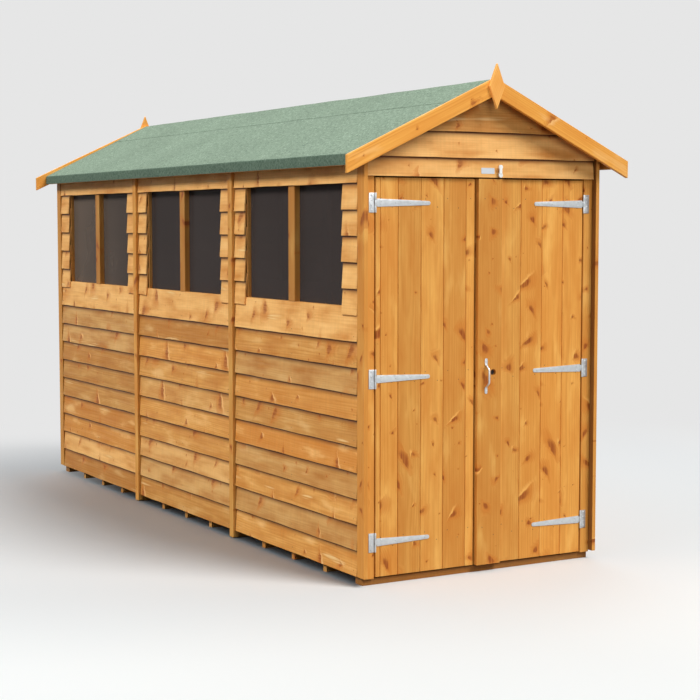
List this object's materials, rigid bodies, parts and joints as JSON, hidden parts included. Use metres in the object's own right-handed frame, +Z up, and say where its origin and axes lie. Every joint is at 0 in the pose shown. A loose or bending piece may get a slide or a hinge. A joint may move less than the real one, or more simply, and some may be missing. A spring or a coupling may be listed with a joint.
{
  "type": "timber garden shed",
  "caption": "Lapped-board garden shed with a felted apex roof, a row of fixed windows along one side and hinged double doors in the front gable.",
  "frame": {"origin": "on the ground at the middle of the shed", "axes": "+Z up, -Y out of the doors, -X out of the windows"},
  "size_m": [1.422, 3.8, 2.1601],
  "materials": {
    "timber": "golden brown dip-treated softwood",
    "sawn_timber": "sawn, dip-treated softwood",
    "green_felt": "green mineral felt",
    "glazing": "clear sheet, dark inside",
    "zinc": "bright zinc plate",
    "white_plastic": "moulded white"
  },
  "bodies": {
    "shed": {"floor_bearers": "sawn_timber", "floor_deck": "sawn_timber", "left_lower_cladding": "timber", "left_window_stubs": "timber", "left_top_boards": "timber", "left_studs": "sawn_timber", "left_rails": "sawn_timber", "window_mullions": "timber", "window_panes": "glazing", "left_joint_strips": "timber", "right_cladding": "timber", "right_studs": "sawn_timber", "right_rails": "sawn_timber", "right_joint_strips": "timber", "back_cladding": "timber", "back_posts": "sawn_timber", "back_stud": "sawn_timber", "back_rails": "sawn_timber", "door_posts": "timber", "door_head": "sawn_timber", "front_gable_cladding": "timber", "corner_strips": "timber", "left_gable_rafters": "sawn_timber", "right_gable_rafters": "sawn_timber", "left_roof_boards": "sawn_timber", "right_roof_boards": "sawn_timber", "roof_purlins": "sawn_timber", "eave_battens": "sawn_timber", "roof_felt": "green_felt", "left_barge_boards": "timber", "right_barge_boards": "timber", "finials": "timber", "hinge_plates": "zinc"},
    "left_door": {"left_door_boards": "timber", "left_door_ledges": "sawn_timber", "left_door_braces": "sawn_timber", "left_hinge_straps": "zinc"},
    "right_door": {"right_door_boards": "timber", "right_door_ledges": "sawn_timber", "right_door_braces": "sawn_timber", "right_hinge_straps": "zinc", "meeting_board": "timber", "door_handle": "zinc"},
    "turn_button": {"turn_button": "white_plastic"}
  },
  "joints": [
    {"name": "left_door_hinge", "type": "hinge", "parent": "shed", "child": "left_door", "pos_m": [-0.533, -1.8045, 0.859], "axis": [0, 0, -1], "range_deg": [0, 150]},
    {"name": "right_door_hinge", "type": "hinge", "parent": "shed", "child": "right_door", "pos_m": [0.533, -1.8045, 0.859], "axis": [0, 0, 1], "range_deg": [0, 150]},
    {"name": "turn_button_pivot", "type": "hinge", "parent": "shed", "child": "turn_button", "pos_m": [0.07, -1.824, 1.706], "axis": [0, 1, 0], "range_deg": [0, 180]}
  ]
}
